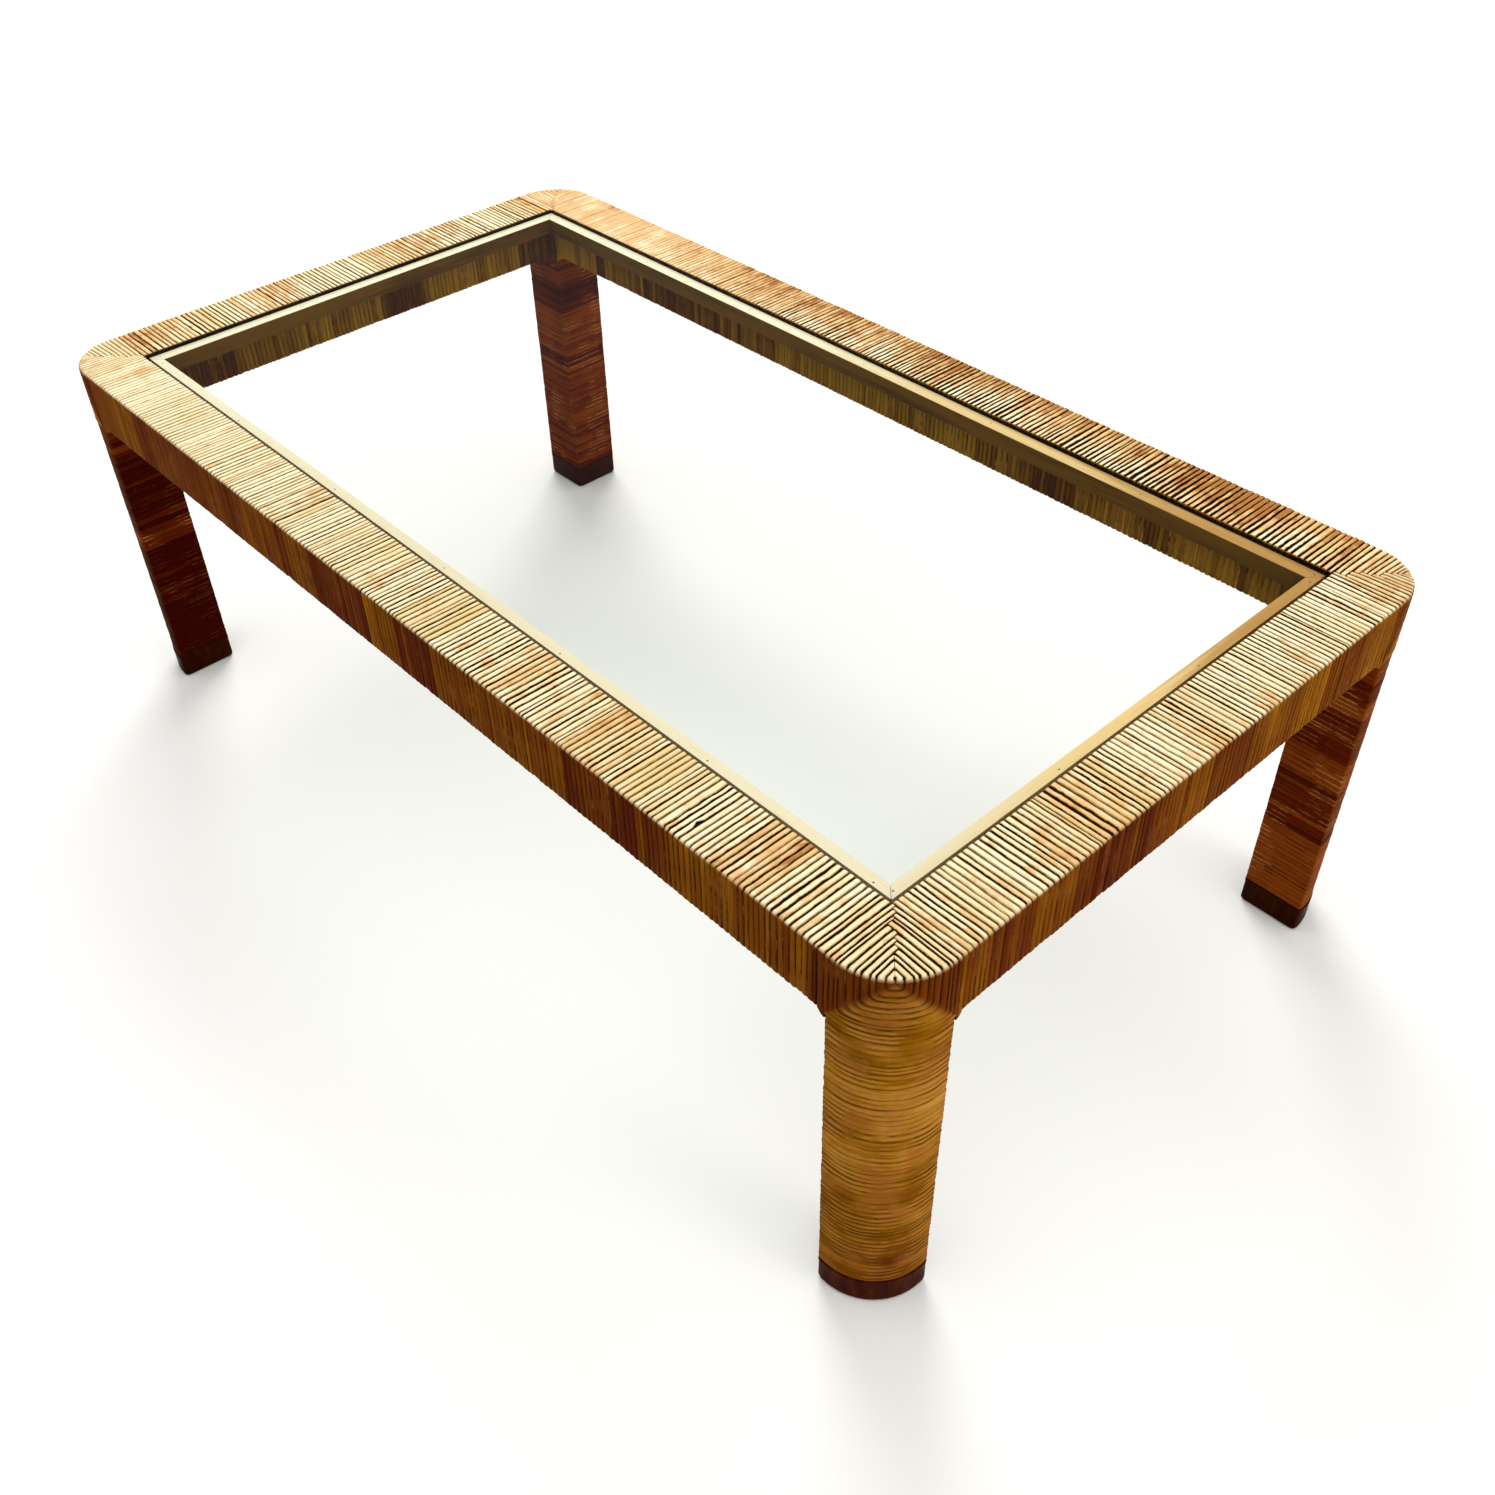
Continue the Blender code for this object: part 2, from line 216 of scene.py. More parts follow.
def add_object(name, data):
    """Add an object that holds data to the scene."""
    item = bpy.data.objects.new(name, data)
    bpy.context.scene.collection.objects.link(item)
    return item


def add_piece(name, mesh, materials, smooth_angle):
    """Add a mesh to the scene, smooth except at edges sharper than an angle in degrees."""
    for material in materials:
        mesh.materials.append(material)
    mesh.shade_smooth()
    mesh.set_sharp_from_angle(angle=math.radians(smooth_angle))
    return add_object(name, mesh)


class StripStore:
    """Collects closed strips of reed and their surface attributes for one piece."""

    def __init__(self):
        self.points = []
        self.faces = []
        self.values = {name: [] for name in REED_VALUES}
        self.count = 0
        self.strips = 0

    def add(self, left, right, normal_left, normal_right, zones, closed, relief, look):
        """Add one strip between two edge lines.

        zones holds the painted top light (where the strip faces up), limb (leg) and the painted
        shade (where it faces under the table) for each station; look holds the strip's own tone,
        blush, groove, lean and sink.
        """
        *plain, sink = look
        fade, limb, _ = zones
        relief = relief * (0.6 + 0.4 * fade) * (1 - 0.4 * limb)
        across_vector = unit(right - left)
        left = left + across_vector * REED_GAP / 2
        right = right - across_vector * REED_GAP / 2
        grid = self.grid(left, right, normal_left, normal_right, closed, relief, sink)
        stations, wide, _ = grid.shape
        flat = grid.reshape(-1, 3)
        faces = self.grid_faces(stations, wide, closed)
        facing = np.cross(grid[1, 1] - grid[1, 0], grid[2, 0] - grid[1, 0])
        if np.dot(facing, normal_left[1]) < 0:
            faces = [face[::-1] for face in faces]
        self.points.append(flat)
        self.faces.extend(faces)
        steps = np.linalg.norm(np.diff((left + right) / 2, axis=0), axis=1)
        columns = [np.repeat(np.concatenate([[0.0], np.cumsum(steps)]), wide),
                   np.tile([*BACK_POINTS, 1.0, -1.0], stations)]
        columns += [np.full(len(flat), value) for value in (*plain, float(self.strips))]
        columns += [np.repeat(zone, wide) for zone in zones]
        for name, column in zip(REED_VALUES, columns):
            self.values[name].append(column)
        self.count += len(flat)
        self.strips += 1

    @staticmethod
    def grid(left, right, normal_left, normal_right, closed, relief, sink):
        """Return a strip's points, by station and place in its cross section."""
        drop = np.zeros(len(left))
        if not closed:
            drop[0] = drop[-1] = STRIP_END_DROP
        rows = [(u, relief * (1 - math.sqrt(1 - 0.97 * u * u)) + sink) for u in BACK_POINTS]
        rows += [(u, REED_THICKNESS + sink) for u in BOTTOM_POINTS]
        columns = []
        for u, depth in rows:
            share = (u + 1) / 2
            normal = unit(normal_left * (1 - share) + normal_right * share)
            columns.append(left * (1 - share) + right * share - normal * (drop + depth)[:, None])
        return np.stack(columns, axis=1)

    def grid_faces(self, stations, wide, closed):
        """Return the faces between a strip's points, which follow those collected so far."""
        index = self.count + np.arange(stations * wide).reshape(stations, wide)
        here = index if closed else index[:-1]
        ahead = np.roll(index, -1, axis=0) if closed else index[1:]
        quads = np.stack([here, np.roll(here, -1, axis=1),
                          np.roll(ahead, -1, axis=1), ahead], axis=-1).reshape(-1, 4)
        faces = quads.tolist()
        if not closed:
            faces += [index[0, ::-1].tolist(), index[-1].tolist()]
        return faces

    def piece(self, name, material):
        """Add the collected strips to the scene as one piece."""
        mesh = bpy.data.meshes.new(name)
        mesh.from_pydata(np.concatenate(self.points).tolist(), [], self.faces)
        for key, parts in self.values.items():
            layer = mesh.attributes.new(key, "FLOAT", "POINT")
            layer.data.foreach_set("value", np.concatenate(parts).astype(np.float32))
        return add_piece(name, mesh, [material], 50)


# ---- how the reeds lie

def strip_edges(rng, start, end, pitch):
    """Return edge places from start to end, mostly one pitch apart, some strips narrower."""
    count = round((end - start) / pitch)
    widths = 1 + WIDTH_SPREAD * rng.standard_normal(count)
    narrow = rng.random(count) < NARROW_SHARE
    widths[narrow] *= NARROW_WIDTH
    broad = rng.random(count) < BROAD_SHARE
    widths[broad] *= BROAD_WIDTH
    widths = np.clip(widths, *WIDTH_LIMITS)
    return start + (end - start) * np.concatenate([[0.0], np.cumsum(widths)]) / widths.sum()


def bundle_tones(rng, count):
    """Return one tone per strip: reeds of one hank share a tone, with small differences."""
    tones = []
    while len(tones) < count:
        hank = rng.uniform(0.15, 0.85)
        for _ in range(rng.integers(3, 17)):
            tones.append(hank + 0.13 * rng.standard_normal())
    return np.clip(tones[:count], 0, 1)


def blush_of(side, share, rng):
    """Return how pink or rusty a strip of a rail is, by its share along the rail."""
    value = BASE_BLUSH[side] + 0.10 * abs(rng.standard_normal())
    for centre, half, strength in BLUSHES[side]:
        value += strength * math.exp(-((share - centre) / half) ** 2) * rng.uniform(0.35, 1.0)
    return min(value, 1.0)


def side_tone(side, share, tone):
    """Return a strip's tone as it shows on its rail."""
    start, end = TONE_SPREAD[side]
    centre, half, depth = SIDE_DIP[side]
    dip = depth * math.exp(-((share - centre) / half) ** 2)
    return 0.5 + (tone - 0.5) * (start + (end - start) * share) + SIDE_TONE[side] - dip


def groove_of(side, x, rng):
    """Return how dark a groove's stain is at x along the table, fainter towards its left end."""
    start, end = GROOVE_RISE_SPAN[side]
    share = (x + HALF_LENGTH) / (2 * HALF_LENGTH)
    stained = min(max((share - start) / (end - start), 0.0), 1.0)
    base = GROOVE_LEFT_END[side]
    return GROOVE_GAIN[side] * (base + (1 - base) * stained) * rng.uniform(0.60, 1.35)


def rail_section():
    """Return the ring of (y, z, ny, nz) that a strip follows round a rail."""
    bottom = -APRON_HEIGHT
    inner = RAIL_WIDTH - RAIL_INNER_ROUND
    rows = [(y, 0.0, 0.0, 1.0) for y in np.linspace(inner, EDGE_ROUND, 11)]
    rows += arc((EDGE_ROUND, -EDGE_ROUND), EDGE_ROUND, 90, 180, 4)[1:]
    rows += [(0.0, z, -1.0, 0.0) for z in np.linspace(-EDGE_ROUND, bottom + EDGE_ROUND, 5)[1:-1]]
    rows += arc((EDGE_ROUND, bottom + EDGE_ROUND), EDGE_ROUND, 180, 270, 2)
    rows += [(RAIL_WIDTH / 2, bottom, 0.0, -1.0)]
    rows += arc((inner, bottom + RAIL_INNER_ROUND), RAIL_INNER_ROUND, 270, 360, 2)
    rows += [(RAIL_WIDTH, bottom / 2, 1.0, 0.0)]
    rows += arc((inner, -RAIL_INNER_ROUND), RAIL_INNER_ROUND, 0, 90, 2)[:-1]
    return np.array(rows)


def painted_top_light_of(normals):
    """Return the share of painted top light, whole where the reed faces up."""
    return np.clip((normals[:, 2] - 0.35) / 0.5, 0, 1)


def rail_zones(normals):
    """Return painted top light, limb and painted shade (inner side and underside) from a rail's
    normals in its own frame.
    """
    deep = np.clip(np.maximum(3.0 * (normals[:, 1] - 0.65), -normals[:, 2]), 0, 1)
    return painted_top_light_of(normals), np.zeros(len(normals)), deep


def fillet_drop(x, half):
    """Return how far the reed builds up downward beside a leg, at x along the rail."""
    distance = np.clip(half - RAIL_WIDTH - np.abs(x), 0, FILLET_RADIUS)
    return FILLET_RADIUS - np.sqrt(FILLET_RADIUS ** 2 - (FILLET_RADIUS - distance) ** 2)


def ring_lines(ring, axis, edges, waver, rng):
    """Return one line round the ring for each edge place along an axis, and the ring's normals.

    All lines but the first and the last waver along the axis.
    """
    turns = np.arange(len(ring)) / len(ring)
    flat = [number for number in range(3) if number != axis]
    normals = np.zeros((len(ring), 3))
    normals[:, flat] = ring[:, 2:]
    lines = []
    for number, edge in enumerate(edges):
        amount = 0.0 if number in (0, len(edges) - 1) else rng.uniform(*waver) * MM
        line = np.zeros((len(ring), 3))
        line[:, axis] = edge + wobble(rng, amount)(turns)
        line[:, flat] = ring[:, :2]
        lines.append(line)
    return lines, normals


def straight_strips(store, side, half, place, rng):
    """Add the full rings of reed between a rail's two corners."""
    ring = rail_section()
    edges = strip_edges(rng, -half + RAIL_WIDTH, half - RAIL_WIDTH, REED_PITCH)
    count = len(edges) - 1
    tones = bundle_tones(rng, count)
    lines, normals = ring_lines(ring, 0, edges, RAIL_WAVER, rng)
    low = ring[:, 1] < -APRON_HEIGHT + EDGE_ROUND * 1.5
    for line in lines:
        line[low, 2] -= fillet_drop(line[low, 0], half)
    lines = [place(line) for line in lines]
    zones = rail_zones(normals)
    normals = place(normals, True)
    axis = 0 if side in ("front", "back") else 1
    for index in range(count):
        share = (lines[index][0, axis] + half) / (2 * half)
        stain = groove_of(side, lines[index][0, 0], rng)
        look = (side_tone(side, share, tones[index]), blush_of(side, share, rng), stain,
                LEAN[side] * min(stain, 1.0), abs(rng.standard_normal()) * RAIL_SINK * MM)
        relief = RAIL_RELIEF * (0.55 + 0.45 * min(stain, 1.0))
        right = lines[index + 1].copy()
        if side == "front" and index == round(NICK_SHARE * count):
            right[NICK_STATION, 0] -= NICK_WIDTH
        store.add(lines[index], right, normals, normals, zones, True, relief, look)


def outline(q):
    """Return point and outward normal on the front outline, q from the leg's inner edge."""
    flat = RAIL_WIDTH - CORNER_RADIUS
    if q < flat:
        return np.array((-RAIL_WIDTH + q, 0.0, 0.0)), np.array((0.0, -1.0, 0.0))
    angle = (q - flat) / CORNER_RADIUS
    point = np.array((-CORNER_RADIUS + CORNER_RADIUS * math.sin(angle),
                      CORNER_RADIUS - CORNER_RADIUS * math.cos(angle), 0.0))
    return point, np.array((math.sin(angle), -math.cos(angle), 0.0))


OUTLINE_END = RAIL_WIDTH - CORNER_RADIUS + CORNER_RADIUS * math.pi / 4
LOWEST_LOOP = EDGE_ROUND + 0.6 * MM


def mitre_reach(share):
    """Return how far in from the outer faces a loop's edge meets the top's diagonal."""
    inset = VERTEX_INSET + EDGE_ROUND * math.sqrt(0.5)
    return RAIL_WIDTH - (RAIL_WIDTH - inset) * share


def corner_half(share, extend):
    """Return half of one edge of a corner loop, from the top's mitre to the middle of the leg.

    The line crosses the top, turns down the rail's side and then, in a small curve, into the
    level turns of the leg. Its points come with normals and a limb share per point.
    """
    up = np.array((0.0, 0.0, 1.0))
    reach = mitre_reach(share)
    level = -(LOWEST_LOOP + (APRON_HEIGHT - LOWEST_LOOP) * (1 - share))
    radius = min(TURN_RADIUS * min(share * 3.5, 1.0), 0.6 * (OUTLINE_END * (1 - share)),
                 0.8 * (-level - EDGE_ROUND))
    start_q = OUTLINE_END * share
    edge, outward = outline(start_q)
    brink = edge - outward * EDGE_ROUND
    start = np.array((-reach, reach, 0.0))
    start = start + unit(start - brink) * extend
    points = [start + (brink - start) * t for t in np.linspace(0.0, 1.0, 7)]
    normals = [up] * 7
    for angle in np.radians((60, 30, 0)):
        normal = outward * math.cos(angle) + up * math.sin(angle)
        points.append(brink - up * EDGE_ROUND + normal * EDGE_ROUND)
        normals.append(normal)
    limb = [0.0] * 10
    steps = [(start_q, z, 0.0) for z in np.linspace(-EDGE_ROUND, level + radius, 4)[1:]]
    for angle in np.radians(np.linspace(0, 90, 5)[1:]):
        steps.append((start_q + radius * (1 - math.cos(angle)),
                      level + radius * (1 - math.sin(angle)), math.sin(angle) ** 2))
    steps += [(q, level, 1.0) for q in np.linspace(start_q + radius, OUTLINE_END, 6)[1:]]
    for q, z, leg in steps:
        point, normal = outline(min(q, OUTLINE_END))
        points.append(point + up * z)
        normals.append(normal)
        limb.append(leg * (1 - 0.85 * share ** 1.5))
    return np.array(points), np.array(normals), np.array(limb)


def corner_loop(share, extend_front, extend_right):
    """Return one whole edge of a corner loop, from the front rail's mitre to the right rail's."""
    points, normals, limb = corner_half(share, extend_front)
    far_points, far_normals, far_limb = corner_half(share, extend_right)
    swap = np.array(((0.0, -1.0, 0.0), (-1.0, 0.0, 0.0), (0.0, 0.0, 1.0)))
    points = np.concatenate([points, far_points[-2::-1] @ swap])
    normals = np.concatenate([normals, far_normals[-2::-1] @ swap])
    return points, normals, np.concatenate([limb, far_limb[-2::-1]])


def corner_strips(store, corner, place, rng):
    """Add one corner's nested loops; their ends cross the top's diagonal by turns."""
    widths = 1 + 0.14 * rng.standard_normal(CORNER_LOOPS)
    shares = np.concatenate([[0.0], np.cumsum(widths)]) / widths.sum()
    tones = rng.uniform(0.22, 0.50, CORNER_LOOPS)
    for index in range(CORNER_LOOPS):
        cell = mitre_reach(shares[index]) - mitre_reach(shares[index + 1])
        front_over = (index % 2 == 0) != (rng.random() < 0.15)
        if index >= CORNER_LOOPS - 3:
            cell = 0.0
        reaches = [(-MITRE_GAP, cell - MITRE_GAP), (-cell - MITRE_GAP, -MITRE_GAP)]
        front, right = reaches if front_over else reaches[::-1]
        left_line, left_normal, limb = corner_loop(shares[index], front[0], right[0])
        right_line, right_normal, _ = corner_loop(shares[index + 1], front[1], right[1])
        if index > 0:
            sway = np.sin(np.linspace(0, math.pi * rng.uniform(3, 7), len(left_line)) + index)
            middle = 1 - np.abs(np.linspace(-1, 1, len(left_line))) ** 8
            left_line[:, 2] += np.where(limb > 0.5, sway * middle * CORNER_WAVER * MM, 0.0)
        zones = (painted_top_light_of(left_normal), limb, np.zeros(len(limb)))
        look = (tones[index], CORNER_BLUSH[corner] + 0.28 * rng.random(),
                CORNER_STAIN[corner] * rng.uniform(0.8, 1.4), 0.0,
                abs(rng.standard_normal()) * CORNER_SINK * MM)
        store.add(place(left_line), place(right_line), place(left_normal, True),
                  place(right_normal, True), zones, False, RAIL_RELIEF * 1.15, look)


def leg_section(inset, small):
    """Return the closed ring (x, y, nx, ny) round a leg with small rounds, corner at the origin."""
    radius = CORNER_RADIUS - inset
    left = -RAIL_WIDTH + inset
    right = -inset
    near = inset
    far = RAIL_WIDTH - inset
    rows = arc((left + small, near + small), small, 180, 270, 2)
    rows += arc((right - radius, near + radius), radius, 270, 360, 14)
    rows += arc((right - small, far - small), small, 0, 90, 2)
    rows += [((left + right) / 2, far, 0.0, 1.0)]
    rows += arc((left + small, far - small), small, 90, 180, 2)
    rows += [(left, (near + far) / 2, -1.0, 0.0)]
    return np.array(rows)


def shaft_strips(store, corner, place, rng):
    """Add the level turns of reed between the foot cap and the apron."""
    edges = strip_edges(rng, CAP_TOP + CAP_GAP, APRON_BOTTOM, REED_PITCH)
    count = len(edges) - 1
    tones = bundle_tones(rng, count)
    lines, normals = ring_lines(leg_section(LEG_INSET, LEG_INNER_ROUND), 2, edges, LEG_WAVER, rng)
    lines = [place(line) for line in lines]
    # Painted shade on the leg's faces that look under the table.
    deep = np.clip(np.maximum(-normals[:, 0], normals[:, 1]) * 1.3, 0, 1)
    normals = place(normals, True)
    for index in range(count):
        # Painted shade: deeper on the lowest turns near the foot, and over the whole of a shaded
        # leg.
        down = max(0.42 * (1 - index / count) ** 2, LEG_PAINTED_SHADE[corner])
        zones = (np.zeros(len(deep)), np.ones(len(deep)), np.maximum(deep, down))
        groove = rng.uniform(0.35, 0.85) if rng.random() < 0.75 else rng.uniform(1.0, 1.5)
        # The leg's tone shift is painted light and shade.
        look = (tones[index] + LEG_PAINTED_LIGHT[corner], abs(rng.standard_normal()) * 0.25, groove, 0.0,
                abs(rng.standard_normal()) * LEG_SINK * MM)
        store.add(lines[index], lines[index + 1], normals, normals, zones, True,
                  LEG_RELIEF * rng.uniform(0.6, 1.3), look)


# ---- materials

class Nodes:
    """Short calls for building one material's node tree."""

    def __init__(self, name):
        self.material = bpy.data.materials.new(name)
        self.material.use_nodes = True
        self.tree = self.material.node_tree
        self.shader = self.tree.nodes["Principled BSDF"]

    def put(self, value, socket):
        """Link a socket, or set a plain value."""
        if isinstance(value, bpy.types.NodeSocket):
            self.tree.links.new(value, socket)
        else:
            socket.default_value = value

    def new(self, kind, inputs=(), **settings):
        """Add a node, set its properties and feed its inputs, given by name or number."""
        node = self.tree.nodes.new(kind)
        for key, value in settings.items():
            setattr(node, key, value)
        for key, value in dict(inputs).items():
            self.put(value, node.inputs[key])
        return node

    def value(self, name):
        """Return the socket of a float attribute."""
        return self.new("ShaderNodeAttribute", attribute_name=name).outputs["Fac"]

    def math(self, operation, first, second=0.0, clamp=False):
        """Return a math node's result."""
        return self.new("ShaderNodeMath", {0: first, 1: second}, operation=operation,
                        use_clamp=clamp).outputs[0]

    def chain(self, operation, terms, clamp):
        """Return several values joined by one operation, from left to right."""
        total = terms[0]
        for term in terms[1:-1]:
            total = self.math(operation, total, term)
        return self.math(operation, total, terms[-1], clamp)

    def add(self, *terms, clamp=False):
        """Return a sum."""
        return self.chain("ADD", terms, clamp)

    def times(self, *terms, clamp=False):
        """Return a product."""
        return self.chain("MULTIPLY", terms, clamp)

    def less(self, first, second):
        """Return first less second."""
        return self.math("SUBTRACT", first, second)

    def mix(self, factor, first, second):
        """Return a colour mix."""
        node = self.new("ShaderNodeMix", {"Factor": factor}, data_type="RGBA")
        for value, key in ((first, "A"), (second, "B")):
            socket = [item for item in node.inputs if item.name == key and item.type == "RGBA"][0]
            self.put((*value, 1.0) if isinstance(value, tuple) else value, socket)
        return [item for item in node.outputs if item.type == "RGBA"][0]

    def span(self, value, low, high, out_low=0.0, out_high=1.0):
        """Return value mapped smoothly from low..high to out_low..out_high."""
        return self.new("ShaderNodeMapRange", enumerate((value, low, high, out_low, out_high)),
                        interpolation_type="SMOOTHSTEP").outputs[0]

    def tinted(self, colour, tint, value, low, high, amount=1.0):
        """Return colour mixed towards a tint, by up to amount, as value goes from low to high."""
        return self.mix(self.span(value, low, high, 0.0, amount), colour, tint)

    def ramp(self, factor, stops):
        """Return a colour ramp's colour; stops are (place, colour)."""
        node = self.new("ShaderNodeValToRGB", {0: factor})
        elements = node.color_ramp.elements
        while len(elements) < len(stops):
            elements.new(0.5)
        for element, (place, colour) in zip(elements, stops):
            element.position = place
            element.color = (*colour, 1.0)
        return node.outputs["Color"]

    def vector(self, x, y, z):
        """Return a combined vector."""
        return self.new("ShaderNodeCombineXYZ", {0: x, 1: y, 2: z}).outputs[0]

    def noise(self, scale, detail=3.0, roughness=0.55, where=None):
        """Return a noise texture's value, at the object coordinates unless told otherwise."""
        where = where or self.object_place()
        return self.new("ShaderNodeTexNoise", {"Vector": where, "Scale": scale, "Detail": detail,
                                               "Roughness": roughness}).outputs[0]

    def object_place(self):
        """Return the object coordinates."""
        return self.new("ShaderNodeTexCoord").outputs["Object"]

    def stretched(self, scale):
        """Return the object coordinates, scaled axis by axis."""
        return self.new("ShaderNodeMapping", {0: self.object_place(), "Scale": scale}).outputs[0]

    def axes(self):
        """Return X, Y and Z of the object coordinates."""
        return self.new("ShaderNodeSeparateXYZ", {0: self.object_place()}).outputs

    def bump(self, height, strength, distance):
        """Feed a bump into the shader."""
        node = self.new("ShaderNodeBump", {"Strength": strength, "Distance": distance,
                                           "Height": height})
        self.put(node.outputs["Normal"], self.shader.inputs["Normal"])

    def finish(self, colour, roughness, **plain):
        """Feed colour and roughness, and set plain values on the shader's sockets."""
        self.put(colour, self.shader.inputs["Base Color"])
        self.put(roughness, self.shader.inputs["Roughness"])
        for key, value in plain.items():
            self.shader.inputs[key.replace("_", " ")].default_value = value
        return self.material


CREAM = (0.84, 0.74, 0.50)
CREAM_PALE = (0.88, 0.79, 0.57)
CREAM_GOLD = (0.69, 0.52, 0.25)
PEACH = (0.68, 0.40, 0.17)
RUST = (0.33, 0.095, 0.022)
HALO = (0.38, 0.22, 0.030)
GROOVE = (0.024, 0.010, 0.0010)
MAROON = (0.085, 0.010, 0.0010)
BROWN = (0.158, 0.036, 0.001)
OLIVE = (0.215, 0.070, 0.001)
HONEY = (0.360, 0.135, 0.004)
LEG_GROOVE = (0.070, 0.026, 0.0010)
LEG_DARK = (0.120, 0.034, 0.0010)
LEG_BROWN = (0.232, 0.088, 0.0015)
LEG_TAN = (0.370, 0.155, 0.009)
LEG_PALE = (0.540, 0.260, 0.046)
LEG_ROSE = (0.375, 0.133, 0.022)
# Painted shade: the dark colours of faces under the table, first on legs, then on rails.
LEG_SHADE_DARK = (0.036, 0.0012, 0.0004)
LEG_SHADE_BROWN = (0.098, 0.010, 0.0010)
LEG_SHADE_RED = (0.205, 0.042, 0.0035)
RAIL_SHADE_DARK = (0.050, 0.012, 0.0005)
RAIL_SHADE_BROWN = (0.135, 0.054, 0.001)
RAIL_SHADE_OLIVE = (0.240, 0.122, 0.005)
# Painted highlight: glints along the edges of the dark strips.
GLINT = (0.520, 0.220, 0.060)


class ReedNodes(Nodes):
    """The reed's node tree, with the values that its colours share."""

    def __init__(self):
        super().__init__("split_reed")
        (self.along, self.across, self.tone, self.blush, self.stain, self.lean, self.reed,
         self.fade, self.limb, self.deep) = map(self.value, REED_VALUES)
        self.grain = self.noise(1.0, 4.0, 0.6, self.on_strip(24.0, 2.4, 3.7))
        self.fibre = self.noise(1.0, 3.0, 0.65, self.on_strip(34.0, 9.0, 5.1))
        self.blotch = self.noise(1.0, 3.0, 0.6, self.on_strip(52.0, 0.3, 0.55))
        self.patch = self.noise(19.0, 3.0)
        self.mask = self.noise(34.0, 2.0)
        # Noise for the legs' rose patches and for where the painted glints fall.
        self.rose_and_glint_mask = self.noise(21.0, 3.0, 0.6)
        self.rim = self.math("ABSOLUTE", self.across)
        self.outward = self.span(self.along, 0.0, RAIL_WIDTH, -0.34, 0.34)
        self.side_tone = self.add(self.tone, self.centred(self.grain, 0.7),
                                  self.centred(self.patch, 0.5))

    def centred(self, value, amount):
        """Return how far a value lies from one half, times amount."""
        return self.times(self.less(value, 0.5), amount)

    def on_strip(self, scale_along, scale_across, seed):
        """Return coordinates that follow each strip and differ from strip to strip."""
        return self.vector(self.times(self.along, scale_along),
                           self.times(self.across, scale_across), self.times(self.reed, seed))

    def top_colour(self):
        """Return the top's cream, which carries painted top light, with pink and rusty patches."""
        calm = self.span(self.stain, 0.0, 0.8, 0.40, 1.0)
        varied = self.add(self.centred(self.tone, 0.45), self.centred(self.grain, 0.55))
        # Painted light: the cream darkens a little towards the table's right end, as if lit from the
        # left.
        painted_light_fall = self.span(self.axes()[0], -0.70, 0.60, -0.015, -0.06)
        cream_tone = self.add(self.times(varied, calm), 0.5, self.centred(self.patch, 0.5), painted_light_fall)
        cream = self.ramp(cream_tone, [(0.22, CREAM_GOLD), (0.46, CREAM), (0.74, CREAM_PALE)])
        warm = self.add(self.blush, self.times(self.centred(self.blotch, 1.5), calm),
                        self.centred(self.patch, 0.9), self.times(self.outward, self.lean))
        top = self.tinted(cream, PEACH, warm, 0.20, 0.60, 0.85)
        top = self.tinted(top, RUST, warm, 0.60, 1.05, 0.85)
        return self.tinted(top, PEACH, self.fibre, 0.60, 0.85, 0.45)

    def side_colour(self):
        """Return the lacquered outer side of a rail, from maroon to gold."""
        side = self.ramp(self.side_tone,
                         [(0.10, MAROON), (0.42, BROWN), (0.70, OLIVE), (0.98, HONEY)])
        return self.tinted(side, HONEY, self.fibre, 0.62, 0.80, 0.55)

    def leg_colour(self):
        """Return the tan of a leg's outer side, with rosy patches and painted highlights on the
        crests.
        """
        cloud = self.noise(11.0, 4.0, 0.6)
        band = self.noise(1.0, 4.0, 0.6, self.stretched((14.0, 14.0, 62.0)))
        leg_tone = self.add(self.times(self.tone, 0.22), 0.38, self.centred(self.grain, 0.55),
                            self.centred(cloud, 1.6), self.centred(band, 0.8))
        leg = self.ramp(leg_tone, [(0.12, LEG_DARK), (0.38, LEG_BROWN), (0.62, LEG_TAN),
                                   (0.92, LEG_PALE)])
        leg = self.tinted(leg, LEG_ROSE, self.rose_and_glint_mask, 0.46, 0.62, 0.60)
        # Painted highlight: pale crests in patches, where light would catch the reeds' rounded tops.
        painted_crest_highlight = self.times(self.span(self.rim, 0.10, 0.60, 0.50, 0.0),
                           self.span(self.mask, 0.46, 0.60))
        return self.mix(painted_crest_highlight, leg, LEG_PALE)

    def painted_shade_colour(self):
        """Return the painted shade of the faces under the table, redder on the legs than on the
        rails.
        """
        leg_dark = self.ramp(self.side_tone,
                             [(0.15, LEG_SHADE_DARK), (0.50, LEG_SHADE_BROWN), (0.90, LEG_SHADE_RED)])
        rail_dark = self.ramp(self.side_tone,
                              [(0.15, RAIL_SHADE_DARK), (0.50, RAIL_SHADE_BROWN), (0.90, RAIL_SHADE_OLIVE)])
        return self.mix(self.limb, rail_dark, leg_dark)

    def ragged_rim(self):
        """Return how near a strip's edge a point lies, made uneven by noise and by stain."""
        edge_noise = self.noise(1.0, 3.0, 0.65, self.on_strip(150.0, 0.9, 7.3))
        rim = self.add(self.rim, self.centred(edge_noise, 0.75), self.centred(self.blotch, 0.30),
                       self.times(self.less(self.stain, 0.9), 0.22))
        return self.less(rim, self.times(self.outward, self.times(self.lean, 0.45)))

